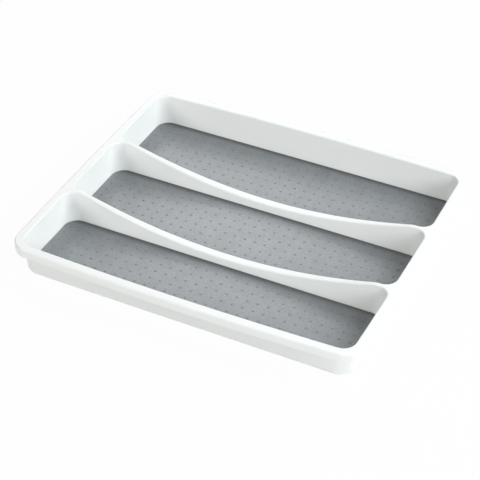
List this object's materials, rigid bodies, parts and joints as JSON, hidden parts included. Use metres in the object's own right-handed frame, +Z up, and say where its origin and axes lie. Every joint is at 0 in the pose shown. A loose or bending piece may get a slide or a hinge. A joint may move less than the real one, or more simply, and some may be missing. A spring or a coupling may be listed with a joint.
{
  "type": "cutlery drawer organizer",
  "caption": "Shallow white plastic drawer tray with long parallel compartments, dividers whose top edges dip between level ends, a turned-down rim, grey soft mats and rubber feet.",
  "frame": {"origin": "on the ground under the middle of the tray", "axes": "+X along the compartments, +Y across them towards the back compartment, +Z up"},
  "size_m": [0.406, 0.346, 0.042],
  "materials": {
    "white_plastic": "satin white polypropylene",
    "grey_mat": "matt grey soft-touch mat with small raised dots",
    "grey_rubber": "matt dark grey rubber"
  },
  "bodies": {
    "root": {"tray_body": "white_plastic", "mat_front": "grey_mat", "mat_middle": "grey_mat", "mat_back": "grey_mat", "foot_front_left": "grey_rubber", "foot_front_right": "grey_rubber", "foot_middle_left": "grey_rubber", "foot_middle_right": "grey_rubber", "foot_back_left": "grey_rubber", "foot_back_right": "grey_rubber"}
  },
  "joints": []
}
